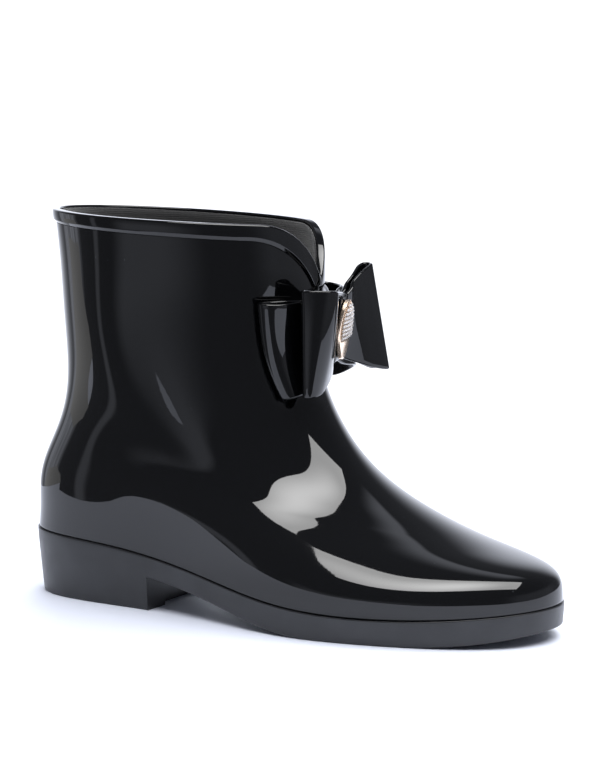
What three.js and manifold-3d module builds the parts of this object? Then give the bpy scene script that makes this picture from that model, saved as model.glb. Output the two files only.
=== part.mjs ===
// Short rubber rain boot, right foot, with a moulded bow and a jewelled clasp.
// Millimetres. +X runs from heel to toe, +Y is the inner (medial) side, +Z is up, the ground is Z = 0.
import * as THREE from "three";
import Module from "manifold-3d";

const wasm = await Module();
wasm.setup();

// ---- driving dimensions -------------------------------------------------------------------------
const WALL = 2.4; // moulded PVC wall
const FLOOR = 2.0; // moulded floor of the upper
const LINING = 0.8; // textile sock
const GAP = 0.3; // clearance between touching pieces
const COLLAR_PROUD = 1.1; // rim band stands out from the wall
const COLLAR_REBATE = 0.8; // and sinks into it
const SOLE_PROUD = 0.6; // sole edge stands out past the upper
const SOLE_DRAFT = 2.6; // sole and heel wall lean in towards the ground
const HEEL_LENGTH = 73;
const TREAD_DEPTH = 2.0;
const TREAD_BORDER = 8; // plain margin round the grooves
const FOOTBED_FOAM = 4.0;
const FOOTBED_COVER = 0.9;
const BAND = 1.6; // thickness of the bow strips
const TURN = 9; // degrees the shaft opening faces inwards of the foot axis
const TURN_PIVOT_X = 48;
const LEAN = 0.014; // outer side of the rim is slightly higher
const TOE_SHIFT = 8; // the toe points inwards

// Rings of the upper, from the feather line (v = 0) to the top (v = 1): where each ring crosses the
// front and back centre lines.
const RING_V = [0, 0.07, 0.15, 0.25, 0.36, 0.48, 0.6, 0.72, 0.86, 1];
const FRONT_X = [259.8, 259.2, 252.4, 229.0, 200.4, 173.8, 152.6, 139.0, 139.1, 137.9];
const FRONT_Z = [16.1, 24.3, 30.8, 36.7, 46.6, 60.1, 80.3, 110.2, 145.8, 175.9];
const BACK_X = [-2.5, -1.6, -1.0, 3.1, 10.2, 15.3, 16.7, 15.6, 14.0, 11.5];
const BACK_Z = [31, 41, 53, 66, 80, 95, 112, 133, 158, 181];

// Ring widths: radius at the back, half widths at 20, 40, 60 and 80 % of the length, radius in front.
const WIDTH_V = [0, 0.07, 0.15, 0.25, 0.36, 0.48, 0.6, 0.8, 1];
const OUTER_WIDTHS = [
  [21, 28.5, 34.5, 47, 43, 29],
  [21.4, 29.5, 35.4, 48.5, 44.8, 27.2],
  [22, 30.6, 36.7, 46.4, 38.2, 23],
  [23.3, 31.2, 37.1, 39.7, 31.1, 19.6],
  [25, 31.5, 34.3, 36, 27.4, 15.5],
  [27, 32.7, 36, 36.1, 26.9, 15.9],
  [29, 34.9, 39.9, 37.9, 28.6, 18.4],
  [32, 38, 45, 43, 34, 25],
  [33, 38, 46, 45, 36, 29],
];
const INNER_WIDTHS = [
  [21, 28, 27, 36, 35, 29],
  [21.4, 28.5, 28, 36.2, 34.5, 27.2],
  [22, 29, 29, 36, 33, 23],
  [23.3, 29.6, 30.3, 34.6, 29.1, 19.6],
  [25, 30.5, 32, 33, 25, 15.5],
  [27, 32.2, 34.8, 33.3, 24.3, 15.9],
  [29, 34.5, 38.5, 36, 27, 18.4],
  [32, 38, 45, 43, 34, 25],
  [33, 38, 46, 45, 36, 29],
];
const WIDTH_T = [0, 0.2, 0.4, 0.6, 0.8, 1];

// Height of the feather line, and of the sole's underside, from heel to toe.
const FEATHER_T = [0, 0.25, 0.42, 0.55, 0.7, 0.85, 1];
const FEATHER_Z = [31, 27, 20, 14.5, 11.5, 12.5, 16.1];
const UNDER_T = [0, 0.27, 0.34, 0.42, 0.5, 0.57, 0.62, 0.8, 0.88, 0.95, 1];
const UNDER_Z = [18, 16, 13.6, 9.6, 4.9, 1.3, 0, 0, 1.3, 3.6, 6];

// V notch in front: depth of the rim and of the band's lower edge, as a share of the ring parameter.
const NOTCH = { depth: 0.12, reach: 0.72 };
const BAND_NOTCH = { start: 0.963, depth: 0.15, reach: 0.82, lowest: 0.862 };

// ---- curves -------------------------------------------------------------------------------------
const clamp = (x, a, b) => Math.min(b, Math.max(a, x));
const ease = (x) => {
  const u = clamp(x, 0, 1);
  return u * u * (3 - 2 * u);
};

// Natural cubic spline through (xs, ys), straight beyond its ends.
function spline(xs, ys) {
  const n = xs.length;
  const h = xs.slice(1).map((x, i) => x - xs[i]);
  const c = new Array(n).fill(0);
  const d = new Array(n).fill(0);
  for (let i = 1; i < n - 1; i++) {
    const rise = 6 * ((ys[i + 1] - ys[i]) / h[i] - (ys[i] - ys[i - 1]) / h[i - 1]);
    const pivot = 2 * (h[i - 1] + h[i]) - h[i - 1] * c[i - 1];
    c[i] = h[i] / pivot;
    d[i] = (rise - h[i - 1] * d[i - 1]) / pivot;
  }
  const m = new Array(n).fill(0);
  for (let i = n - 2; i > 0; i--) {
    m[i] = d[i] - c[i] * m[i + 1];
  }
  return (x) => {
    let i = 0;
    while (i < n - 2 && x >= xs[i + 1]) {
      i++;
    }
    const a = xs[i + 1] - x;
    const b = x - xs[i];
    return (
      (m[i] * a ** 3 + m[i + 1] * b ** 3) / (6 * h[i]) +
      (ys[i] / h[i] - (m[i] * h[i]) / 6) * a +
      (ys[i + 1] / h[i] - (m[i + 1] * h[i]) / 6) * b
    );
  };
}

const frontX = spline(RING_V, FRONT_X);
const frontZ = spline(RING_V, FRONT_Z);
const backX = spline(RING_V, BACK_X);
const backZ = spline(RING_V, BACK_Z);
const featherZ = spline(FEATHER_T, FEATHER_Z);
const columns = (table) => WIDTH_T.map((_, k) => spline(WIDTH_V, table.map((row) => row[k])));
const outerWidth = columns(OUTER_WIDTHS);
const innerWidth = columns(INNER_WIDTHS);

// Half width of a ring at share t of its length; a is half the ring's length.
function halfWidth(width, v, a, t, sine) {
  const shape = WIDTH_T.map((u, k) => {
    const w = width[k](v);
    return k === 0 || k === 5 ? Math.sqrt(w * a) : w / (2 * Math.sqrt(u * (1 - u)));
  });
  return spline(WIDTH_T, shape)(t) * sine;
}

// Point on the outside of the upper. angle 0 is the back, a half turn is the front,
// the first half turn runs round the outer (lateral) side.
function skin(angle, v) {
  const xb = backX(v);
  const a = (frontX(v) - xb) / 2;
  const t = (1 - Math.cos(angle)) / 2;
  const sine = Math.sin(angle);
  let y = -halfWidth(sine >= 0 ? outerWidth : innerWidth, v, a, t, sine);
  y += TOE_SHIFT * clamp(1 - v / 0.9, 0, 1) * ease((t - 0.35) / 0.65);
  const x = xb + 2 * a * t;
  const lift = ease(v / 0.3);
  const zb = backZ(v);
  const zf = frontZ(v);
  const level = zb + (zf - zb) * t;
  const low = featherZ(t) + (zb - FEATHER_Z[0]) * (1 - t) + (zf - FEATHER_Z[6]) * t;
  const z = low * (1 - lift) + level * lift;
  const rise = ease(v / 0.8);
  const turn = THREE.MathUtils.degToRad(TURN) * rise;
  const dx = x - TURN_PIVOT_X;
  const out = new THREE.Vector3();
  out.x = TURN_PIVOT_X + dx * Math.cos(turn) - y * Math.sin(turn);
  out.y = dx * Math.sin(turn) + y * Math.cos(turn);
  out.z = z - LEAN * out.y * rise;
  return out;
}

// Outward unit normal of the upper.
function skinNormal(angle, v) {
  const e = 0.004;
  const around = skin(angle + e, v).sub(skin(angle - e, v));
  const up = skin(angle, v + e).sub(skin(angle, Math.max(v - e, 0)));
  return around.cross(up).normalize();
}

// Point sunk below (or, with a negative depth, raised above) the outside of the upper.
const sunk = (angle, v, depth) => skin(angle, v).addScaledVector(skinNormal(angle, v), -depth);

// Point of the feather outline moved inwards in plan by depth.
function outline(angle, depth, z) {
  const e = 0.01;
  const along = skin(angle + e, 0).sub(skin(angle - e, 0));
  const inward = new THREE.Vector3(-along.y, along.x, 0).normalize();
  const p = skin(angle, 0);
  const mid = skin(0, 0).lerp(skin(Math.PI, 0), 0.5);
  if (inward.dot(mid.clone().sub(p)) < 0) {
    inward.negate();
  }
  p.addScaledVector(inward, depth);
  if (z !== undefined) {
    p.z = z;
  }
  return p;
}

const fromFront = (angle) => Math.hypot(angle - Math.PI, 0.03);
const notch = (angle, { depth, reach }) => depth * clamp(1 - fromFront(angle) / reach, 0, 1) ** 2;
const rimV = (angle) => 1 - notch(angle, NOTCH);
const collarV = (angle) => Math.max(BAND_NOTCH.start - notch(angle, BAND_NOTCH), BAND_NOTCH.lowest);

// ---- mesh helpers -------------------------------------------------------------------------------
function solid(points, faces) {
  const geometry = new THREE.BufferGeometry();
  let volume = 0;
  for (const [a, b, c] of faces) {
    volume += points[a].dot(new THREE.Vector3().crossVectors(points[b], points[c]));
  }
  const index = faces.flatMap(([a, b, c]) => (volume < 0 ? [a, c, b] : [a, b, c]));
  geometry.setAttribute(
    "position",
    new THREE.Float32BufferAttribute(points.flatMap((p) => [p.x, p.y, p.z]), 3),
  );
  geometry.setIndex(index);
  geometry.computeVertexNormals();
  return geometry;
}

function stitch(faces, i0, i1, count) {
  for (let j = 0; j < count; j++) {
    const k = (j + 1) % count;
    faces.push([i0 + j, i0 + k, i1 + k], [i0 + j, i1 + k, i1 + j]);
  }
}

// Closed ring after ring; the last ring joins the first again.
function torusOf(rings) {
  const count = rings[0].length;
  const faces = [];
  rings.forEach((_, i) => stitch(faces, i * count, ((i + 1) % rings.length) * count, count));
  return solid(rings.flat(), faces);
}

// Rows across a ring from the outer half to the inner half; each row has cells inside points.
function cap(points, faces, start, count, cells, shape) {
  const rows = [];
  for (let j = 0; j <= count / 2; j++) {
    const a = start + j;
    const b = start + ((count - j) % count);
    const row = [a];
    for (let k = 1; a !== b && k < cells; k++) {
      const p = points[a].clone().lerp(points[b], k / cells);
      points.push(shape ? shape(p, k / cells) : p);
      row.push(points.length - 1);
    }
    if (a !== b) {
      row.push(b);
    }
    rows.push(row);
  }
  for (let j = 0; j + 1 < rows.length; j++) {
    const [p, q] = [rows[j], rows[j + 1]];
    for (let k = 0; k < cells; k++) {
      if (p.length > 1) {
        faces.push([p[k], p[k + 1], q[Math.min(k + 1, q.length - 1)]]);
      }
      if (q.length > 1) {
        faces.push([p[Math.min(k, p.length - 1)], q[k + 1], q[k]]);
      }
    }
  }
}

// Rings from one capped end to the other.
function cappedOf(rings, cells, firstShape, lastShape) {
  const count = rings[0].length;
  const points = rings.flat();
  const faces = [];
  for (let i = 0; i + 1 < rings.length; i++) {
    stitch(faces, i * count, (i + 1) * count, count);
  }
  cap(points, faces, 0, count, cells, firstShape);
  const end = [];
  cap(points, end, (rings.length - 1) * count, count, cells, lastShape);
  end.forEach(([a, b, c]) => faces.push([a, c, b]));
  return solid(points, faces);
}

const angles = (count) => Array.from({ length: count }, (_, i) => (i / count) * 2 * Math.PI);

function toManifold(geometry) {
  const g = geometry.index ? geometry.toNonIndexed() : geometry;
  const position = g.getAttribute("position");
  const found = new Map();
  const vertices = [];
  const triangles = [];
  for (let i = 0; i < position.count; i++) {
    const p = [position.getX(i), position.getY(i), position.getZ(i)];
    const key = p.map((c) => c.toFixed(4)).join(" ");
    if (!found.has(key)) {
      found.set(key, vertices.length / 3);
      vertices.push(...p);
    }
    triangles.push(found.get(key));
  }
  const mesh = new wasm.Mesh({
    numProp: 3,
    vertProperties: new Float32Array(vertices),
    triVerts: new Uint32Array(triangles),
  });
  return new wasm.Manifold(mesh);
}

function fromManifold(body) {
  const mesh = body.getMesh();
  const geometry = new THREE.BufferGeometry();
  const positions = new Float32Array(mesh.vertProperties);
  geometry.setAttribute("position", new THREE.BufferAttribute(positions, 3));
  geometry.setIndex(new THREE.BufferAttribute(new Uint32Array(mesh.triVerts), 1));
  geometry.computeVertexNormals();
  return geometry;
}

const root = new THREE.Group();
root.name = "rain_boot";

function add(name, geometry, color, roughness, metalness = 0) {
  const material = new THREE.MeshStandardMaterial({ color, roughness, metalness });
  material.name = name + "_material";
  const mesh = new THREE.Mesh(geometry, material);
  mesh.name = name;
  root.add(mesh);
  return mesh;
}

// ---- bow frame ----------------------------------------------------------------------------------
const BOW_V = 0.7925; // height of the bow's centre on the shaft
const BOW_TILT = THREE.MathUtils.degToRad(7); // the inner side sits higher
const BOW_PITCH = 0.15; // slope of the knot's front
const REAR_BELLY = 0.25; // swelling of the loops at half height
const FRONT_BELLY = 1.0;
const bowCentre = skin(Math.PI, BOW_V);
const bowOut = new THREE.Vector3(
  Math.cos(THREE.MathUtils.degToRad(TURN)),
  Math.sin(THREE.MathUtils.degToRad(TURN)),
  0,
);
const bowSide0 = new THREE.Vector3(-bowOut.y, bowOut.x, 0);
const bowUp0 = new THREE.Vector3(0, 0, 1).addScaledVector(bowOut, 0.01).normalize();
const bowSide = bowSide0
  .clone()
  .multiplyScalar(Math.cos(BOW_TILT))
  .addScaledVector(bowUp0, Math.sin(BOW_TILT));
const bowUp = bowUp0
  .clone()
  .multiplyScalar(Math.cos(BOW_TILT))
  .addScaledVector(bowSide0, -Math.sin(BOW_TILT));

// side > 0 is the inner side, out is away from the shaft, up is along the shaft. The front of the knot
// and the clasp are pitched forward at the top.
function bowPoint(side, out, up) {
  const knot = 1 - ease((Math.abs(side) - 8) / 6);
  const pitched = out + BOW_PITCH * up * clamp((out - 5) / 6, 0, 1) * knot;
  return bowCentre
    .clone()
    .addScaledVector(bowSide, side)
    .addScaledVector(bowOut, pitched)
    .addScaledVector(bowUp, up);
}

// The same coordinates laid on the curved front of the shaft.
const SHAFT_RADIUS = 41;
function shaftPoint(side, out, up) {
  const angle = Math.PI + (side * Math.cos(BOW_TILT) - up * Math.sin(BOW_TILT)) / SHAFT_RADIUS;
  const v = BOW_V + (up * Math.cos(BOW_TILT) + side * Math.sin(BOW_TILT)) / 256;
  return sunk(angle, v, -out);
}

// Rings of a closed strip, its two faces one strip thickness apart. Path points are
// [side, out, half height, up, flare, lean]: the middle of the strip, half its height there, how far
// it is lifted, and how far its upper edge stands to the side and outwards of the middle.
function stripRings(path, place, belly, count, levels) {
  const closedCurve = (points) => new THREE.CatmullRomCurve3(points, true, "centripetal");
  const plan = closedCurve(path.map(([side, out]) => new THREE.Vector3(side, out, 0)));
  const heights = closedCurve(path.map(([, , half, up, flare]) => new THREE.Vector3(half, up, flare)));
  const leans = closedCurve(path.map((point) => new THREE.Vector3(point[5], 0, 0)));
  const e = 0.002;
  const ring = (face, level) =>
    Array.from({ length: count }, (_, i) => {
      const u = i / count;
      const p = plan.getPoint(u);
      const before = plan.getPoint((u - e + 1) % 1);
      const along = plan.getPoint((u + e) % 1).sub(before).normalize();
      const { x: half, y: lift, z: flare } = heights.getPoint(u);
      const loop = ease((-p.x - 8) / 10) * ease((1 - along.x) / 1.2);
      const off = face * BAND * 0.5 + belly * loop * (1 - level * level);
      const side = p.x + along.y * off + flare * level;
      const out = p.y - along.x * off + leans.getPoint(u).x * level;
      return place(side, out, lift + half * level);
    });
  const rings = [];
  for (let i = 0; i <= levels; i++) {
    rings.push(ring(1, -1 + (2 * i) / levels));
  }
  for (let i = levels; i >= 0; i--) {
    rings.push(ring(-1, -1 + (2 * i) / levels));
  }
  return rings;
}

// ---- upper shell --------------------------------------------------------------------------------
const AROUND = 48;
const ringAt = (v, depth) => angles(AROUND).map((angle) => sunk(angle, v(angle), depth));

// Hole along the rivet, through whatever lies between two distances out from the shaft.
function rivetBore(radius, from, to) {
  const bore = wasm.Manifold.cylinder(to - from, radius, radius, 20);
  const turn = new THREE.Matrix4().makeBasis(bowSide, bowUp, bowOut);
  const at = bowPoint(0, from, 0);
  const m = turn.elements.slice();
  m[12] = at.x;
  m[13] = at.y;
  m[14] = at.z;
  return bore.transform(m);
}

const RIVET_RADIUS = 1.8;
const BORE_RADIUS = RIVET_RADIUS + GAP;
const bored = (geometry) => {
  const body = toManifold(geometry);
  return fromManifold(body.subtract(rivetBore(BORE_RADIUS, -8, 14)));
};

const rises = (from, to, steps) =>
  Array.from({ length: steps + 1 }, (_, i) => from + ((to - from) * i) / steps);
const wallTop = (angle) => rimV(angle) - 0.008;
const rebateTop = (angle) => collarV(angle) - 0.0015;
const WALL_ROWS = rises(0.05, 1, 13);

function upperShell() {
  const rings = [];
  rings.push(angles(AROUND).map((angle) => outline(angle, 0)));
  for (const v of rises(0.035, 1, 16)) {
    rings.push(ringAt((angle) => v * rebateTop(angle), 0));
  }
  rings.push(ringAt(rebateTop, COLLAR_REBATE));
  rings.push(ringAt((angle) => (rebateTop(angle) + wallTop(angle)) / 2, COLLAR_REBATE));
  rings.push(ringAt(wallTop, COLLAR_REBATE));
  for (const v of WALL_ROWS.toReversed()) {
    rings.push(ringAt((angle) => v * wallTop(angle), WALL));
  }
  rings.push(
    angles(AROUND).map((angle) => {
      const p = outline(angle, WALL + 0.4);
      p.z += FLOOR;
      return p;
    }),
  );
  return bored(cappedOf(rings, 6));
}

// Rim band: an angle strip over the top edge, proud of the wall.
function collar() {
  const foot = (angle) => collarV(angle);
  const lower = (angle) => collarV(angle) + 0.005;
  const top = (angle) => rimV(angle);
  const middle = (angle) => (lower(angle) + top(angle)) / 2;
  return torusOf([
    ringAt(foot, COLLAR_REBATE - GAP),
    ringAt(foot, -0.1),
    ringAt(lower, -COLLAR_PROUD),
    ringAt(middle, -COLLAR_PROUD),
    ringAt((angle) => top(angle) - 0.003, -COLLAR_PROUD),
    ringAt(top, -COLLAR_PROUD + 0.5),
    ringAt(top, WALL - 0.4),
    ringAt((angle) => top(angle) - 0.0025, WALL),
    ringAt((angle) => top(angle) - 0.0062, WALL),
    ringAt((angle) => top(angle) - 0.0062, COLLAR_REBATE - GAP),
    ringAt(middle, COLLAR_REBATE - GAP),
  ]);
}

// Textile sock inside the moulding, closed by its own floor.
function sock() {
  const top = (angle) => rimV(angle) - 0.0095;
  const wall = (depth) => WALL_ROWS.map((v) => ringAt((angle) => v * top(angle), depth));
  const floor = (depth, lift) =>
    angles(AROUND).map((angle) => {
      const p = outline(angle, depth);
      p.z += lift;
      return p;
    });
  const outside = WALL + GAP;
  const inside = outside + LINING;
  const rings = [
    floor(inside + 1.4, FLOOR + GAP + LINING),
    ...wall(inside),
    ...wall(outside).toReversed(),
    floor(outside + 1.4, FLOOR + GAP),
  ];
  return bored(cappedOf(rings, 6));
}

// ---- outsole with heel --------------------------------------------------------------------------
const underCurve = spline(UNDER_T, UNDER_Z);
const underZ = (t) => Math.max(0, underCurve(t));
const shareOf = (angle) => (1 - Math.cos(angle)) / 2;

function soleSlab(count) {
  const ring = (depth, height) =>
    angles(count).map((angle) => {
      const p = outline(angle, depth);
      p.z = height(angle, p);
      return p;
    });
  const top = (angle, p) => p.z - GAP;
  const under = (angle) => underZ(shareOf(angle));
  const blend = (k) => (angle, p) => under(angle) + (p.z - GAP - under(angle)) * k;
  return cappedOf(
    [
      ring(-SOLE_PROUD, top),
      ring(-SOLE_PROUD + 0.3, blend(0.6)),
      ring(-SOLE_PROUD + 1.1, blend(0.12)),
      ring(-SOLE_PROUD + 1.9, (angle) => under(angle)),
    ],
    6,
  );
}

// Heel block: the heel end of the outline, drawn in towards the ground, cut square at the breast.
function heelBlock(count) {
  const ring = (depth, z) => angles(count).map((angle) => outline(angle, depth, z));
  const slab = toManifold(
    cappedOf(
      [ring(-SOLE_PROUD + 0.4, 24), ring(SOLE_DRAFT - 0.4, 1.0), ring(SOLE_DRAFT + 0.4, 0)],
      4,
    ),
  );
  const cut = wasm.Manifold.cube([HEEL_LENGTH + 40, 120, 60], false).translate([-40, -60, -20]);
  const lean = cut.transform([1, 0, 0, 0, 0, 1, 0, 0, 0.02, 0, 1, 0, 0, 0, 0, 1]);
  return slab.intersect(lean);
}

const box = (x0, x1, y0, y1, z0, z1) =>
  wasm.Manifold.cube([x1 - x0, y1 - y0, z1 - z0], false).translate([x0, y0, z0]);

function outsole() {
  let body = toManifold(soleSlab(72)).add(heelBlock(72));
  // lightening pockets in the heel, open upwards, with ribs between them
  const pockets = [
    [12, 27, 13],
    [30, 45, 17],
    [48, 63, 18],
  ];
  for (const [x0, x1, half] of pockets) {
    body = body.subtract(box(x0, x1, -half, -1.5, 5, 60));
    body = body.subtract(box(x0, x1, 1.5, half, 5, 60));
  }
  // step back in the middle of the heel breast
  body = body.subtract(box(HEEL_LENGTH - 4.5, HEEL_LENGTH + 6, -14, 16, -1, 15.2));
  // tread grooves across the forefoot and the heel
  const grooves = [];
  for (let x = 146; x < 236; x += 9) {
    grooves.push(box(x, x + 3, -60, 60, -1, underZ(x / 260) + TREAD_DEPTH));
  }
  for (const x of [14, 55]) {
    grooves.push(box(x, x + 2.5, -40, 40, -1, TREAD_DEPTH));
  }
  const border = (z) => angles(48).map((angle) => outline(angle, TREAD_BORDER, z));
  const field = toManifold(cappedOf([border(-5), border(20)], 4));
  body = body.subtract(wasm.Manifold.union(grooves).intersect(field));
  return fromManifold(body);
}

// ---- loose footbed ------------------------------------------------------------------------------
const FOOTBED_LIFT = FLOOR + LINING + 2 * GAP + 0.1;
const FOOTBED_INSET = WALL + LINING + GAP + 3.4;

function footbedLayer(low, high, shrink) {
  const ring = (depth, lift) =>
    angles(AROUND).map((angle) => {
      const p = outline(angle, depth);
      p.z += lift;
      return p;
    });
  return cappedOf([ring(FOOTBED_INSET + shrink, low), ring(FOOTBED_INSET + shrink, high)], 6);
}

// ---- bow ----------------------------------------------------------------------------------------
// Rear strip, laid round the front of the shaft; [side, out, half height, up, flare, lean].
const REAR_STRIP = [
  [0, 3.2, 14, 0, 0, 0],
  [5.5, 3.1, 14.3, -0.4, 0, 0],
  [11, 2.4, 17, -2.5, 0.5, 0],
  [19, 2.4, 21, -6, -1, 0],
  [26, 3.0, 24.5, -9.5, -2, 0],
  [30, 7.2, 25, -10, -2, -2.2],
  [28, 13.2, 25, -10, -2, -4.2],
  [21, 15.0, 22.5, -6.5, -1.5, -5.3],
  [14, 8.4, 19, -3.5, 0, -1.6],
  [5.5, 5.1, 14.3, -0.4, 0, 0],
  [0, 5.0, 14, 0, 0, 0],
  [-5.5, 5.1, 14.3, 0, 0, 0],
  [-15, 5.9, 19, -3, 0.6, 0.4],
  [-23.8, 8.4, 22, -6, 0.7, 0.6],
  [-28.9, 8.2, 23, -7, 0.9, 0.4],
  [-30.9, 4.6, 23, -7, 0.9, 0],
  [-27.6, 2.7, 22, -6, 0.8, 0],
  [-20, 2.3, 20, -4, 0.5, 0],
  [-11, 2.5, 17, -2, 1, 0],
  [-5.5, 3.1, 14.3, 0, 0, 0],
];

// Front strip, standing free of the shaft.
const FRONT_STRIP = [
  [0, 7.9, 14, 0, 0, 0],
  [5.5, 8.0, 14.3, 0, 0, -0.1],
  [11, 10.2, 17, 0, 0, -1.2],
  [18, 12.8, 21, 0, 0.4, -1.9],
  [24.5, 14.4, 24, 0, 0.7, -2.9],
  [28.2, 16.0, 24.5, 0, 0.7, -3.4],
  [28.7, 18.4, 24.5, 0, 0.7, -3.5],
  [26.2, 20.6, 24.5, 0, 0.7, -3.6],
  [18, 17.2, 22, 0, 0.4, -2.4],
  [10.5, 12.4, 17.5, 0, 0, -0.6],
  [5.5, 10.0, 14.3, 0, 0, -0.1],
  [0, 9.9, 14, 0, 0, 0],
  [-5.5, 9.95, 14.3, 0, 0, 0],
  [-10.5, 11.4, 16.6, -0.4, 0, 0.6],
  [-17, 13.6, 19.8, -0.8, 1.6, 2],
  [-24.5, 14.2, 22.8, -1, 3.0, 3],
  [-29.2, 10.6, 23.6, -0.8, 3.0, 1.4],
  [-30, 5.2, 23.6, -0.8, 2.6, -0.4],
  [-26, 3.8, 23, -0.6, 2.0, -0.6],
  [-16, 5.9, 20, 0, 0.8, -0.4],
  [-5.5, 7.9, 14.3, 0, 0, 0],
];

// Strap round both strips at the centre.
function centreWrap() {
  const half = 4.4;
  const path = [
    [1.0, -15],
    [1.0, 15],
    [1.6, 15.8],
    [11.15, 15.8],
    [11.75, 15],
    [11.75, -15],
    [11.15, -15.8],
    [1.6, -15.8],
  ];
  const inside = path.map(([n, h]) => {
    const out = 6.42 + (n - 6.42) * (1 - 0.72 / 5.42);
    return [out, h - Math.sign(h) * (Math.abs(h) > 15.5 ? 0.8 : 0.4)];
  });
  const place = (points, side) => points.map(([n, h]) => bowPoint(side, n, h));
  return torusOf([place(path, -half), place(path, half), place(inside, half), place(inside, -half)]);
}

// ---- clasp --------------------------------------------------------------------------------------
const CLASP = { half: 7.6, top: 13.4, bottom: 14.2, base: 12.05, edge: 1.0, crown: 1.9 };

// Height of the clasp's front face above its rim plane.
function claspCrown(side, up) {
  const u = side / CLASP.half;
  const w = up / CLASP.top;
  return CLASP.base + CLASP.edge + CLASP.crown * clamp(1 - 0.65 * u * u - 0.35 * w * w, 0, 1);
}

// Oval plate that narrows to a tongue below.
function claspOutline(angle, shrink) {
  const c = Math.cos(angle);
  const s = Math.sin(angle);
  const up = (s > 0 ? CLASP.top - shrink : CLASP.bottom - shrink) * s;
  const taper = s > 0 ? 1 - 0.12 * s * s : 1 - 0.42 * s * s;
  return [(CLASP.half - shrink) * c * taper, up];
}

function claspBody() {
  const count = 36;
  const ring = (shrink, out) =>
    angles(count).map((angle) => {
      const [side, up] = claspOutline(angle + Math.PI / 2, shrink);
      return bowPoint(side, out === undefined ? claspCrown(side, up) : out, up);
    });
  const crowned = (p) => {
    const q = p.clone().sub(bowCentre);
    const side = q.dot(bowSide);
    const up = q.dot(bowUp);
    return bowPoint(side, claspCrown(side, up), up);
  };
  const rings = [ring(0.6, CLASP.base), ring(0, CLASP.base + 0.7), ring(0.5)];
  const plate = cappedOf(rings, 8, null, crowned);
  // sunk field for the stones and a slot in the tongue
  const field = [];
  for (const level of [-2, 8]) {
    for (const angle of angles(count)) {
      const [side, up] = claspOutline(angle, 1.3);
      const low = Math.max(up, -4.7);
      field.push(bowPoint(side, claspCrown(side, low) - 0.9 + (level > 0 ? level : 0), low));
    }
  }
  const cutter = wasm.Manifold.hull(field.map((p) => [p.x, p.y, p.z]));
  return fromManifold(toManifold(plate).subtract(cutter).subtract(tongueSlot()));
}

// Blind slot in the tongue of the clasp.
function tongueSlot() {
  const corners = [];
  for (const side of [-1.1, 1.1]) {
    for (const up of [-11.4, -9.2]) {
      for (const out of [CLASP.base + 0.9, CLASP.base + 6]) {
        const p = bowPoint(side, out, up);
        corners.push([p.x, p.y, p.z]);
      }
    }
  }
  return wasm.Manifold.hull(corners);
}

// One row of stones: a bar of joined beads across the clasp.
const STONE_ROWS = 9;
const STONE_PITCH = 1.75;

function stoneRow(up) {
  const edge = Math.sqrt(clamp(1 - (up / (CLASP.top - 1.8)) ** 2, 0.02, 1));
  const reach = (CLASP.half - 1.7) * (up > 0 ? edge * (1 - 0.12 * (up / CLASP.top) ** 2) : 0.98);
  const beads = Math.max(2, Math.round((2 * reach) / STONE_PITCH));
  const rings = [];
  const steps = beads * 2;
  for (let i = 0; i <= steps; i++) {
    const side = -reach + (2 * reach * i) / steps;
    const r = i % 2 ? 0.8 : 0.42;
    const rise = claspCrown(side, up) - 0.5;
    rings.push(
      angles(6).map((angle) => {
        const out = Math.max(Math.sin(angle), -0.1) * r * 1.1;
        return bowPoint(side, rise + out + (i % 2 ? 0.05 : 0), up + Math.cos(angle) * r);
      }),
    );
  }
  return cappedOf(rings, 2);
}

// ---- rivet --------------------------------------------------------------------------------------
function turned(profile) {
  const outlinePoints = profile.map(([r, z]) => new THREE.Vector2(r, z));
  const geometry = new THREE.LatheGeometry(outlinePoints, 24);
  geometry.rotateX(Math.PI / 2);
  const place = new THREE.Matrix4().makeBasis(bowSide, bowUp, bowOut);
  place.setPosition(bowCentre);
  geometry.applyMatrix4(place);
  return geometry;
}

// ---- assembly -----------------------------------------------------------------------------------
add("upper_shell", upperShell(), 0x0b0b0d, 0.08);
add("collar_trim", collar(), 0x0b0b0d, 0.1);
add("outsole_heel", outsole(), 0x141518, 0.3);
add("lining_sock", sock(), 0x26262a, 0.95);
add("footbed_foam", footbedLayer(FOOTBED_LIFT, FOOTBED_LIFT + FOOTBED_FOAM, 0), 0x3a3a3e, 0.9);
const COVER_LIFT = FOOTBED_LIFT + FOOTBED_FOAM + GAP;
add("footbed_cover", footbedLayer(COVER_LIFT, COVER_LIFT + FOOTBED_COVER, 0.4), 0x2b2b30, 0.95);
add("bow_rear_strip", bored(torusOf(stripRings(REAR_STRIP, shaftPoint, REAR_BELLY, 60, 2))), 0x0b0b0d, 0.1);
add("bow_front_strip", bored(torusOf(stripRings(FRONT_STRIP, bowPoint, FRONT_BELLY, 60, 2))), 0x0b0b0d, 0.1);
add("bow_centre_wrap", bored(centreWrap()), 0x0b0b0d, 0.12);
add("clasp_plate", claspBody(), 0xd8ab86, 0.22, 1);
for (let i = 0; i < STONE_ROWS; i++) {
  add("stone_row_" + (i + 1), stoneRow(10.9 - i * 1.8), 0xf3ede6, 0.05);
}
const HEAD = -(WALL + LINING + 2 * GAP + 2.2);
add(
  "bow_rivet",
  turned([
    [0, HEAD - 1.4],
    [3.6, HEAD - 1.4],
    [4.4, HEAD - 0.7],
    [4.4, HEAD],
    [RIVET_RADIUS, HEAD],
    [RIVET_RADIUS, CLASP.base - 2 * GAP],
    [0, CLASP.base - 2 * GAP],
  ]),
  0xb9bcc0,
  0.3,
  1,
);
add(
  "rivet_washer",
  turned([
    [BORE_RADIUS, HEAD + GAP],
    [6, HEAD + GAP],
    [6, HEAD + 1.0],
    [BORE_RADIUS, HEAD + 1.0],
    [BORE_RADIUS, HEAD + GAP],
  ]),
  0x9ea1a6,
  0.35,
  1,
);

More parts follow.
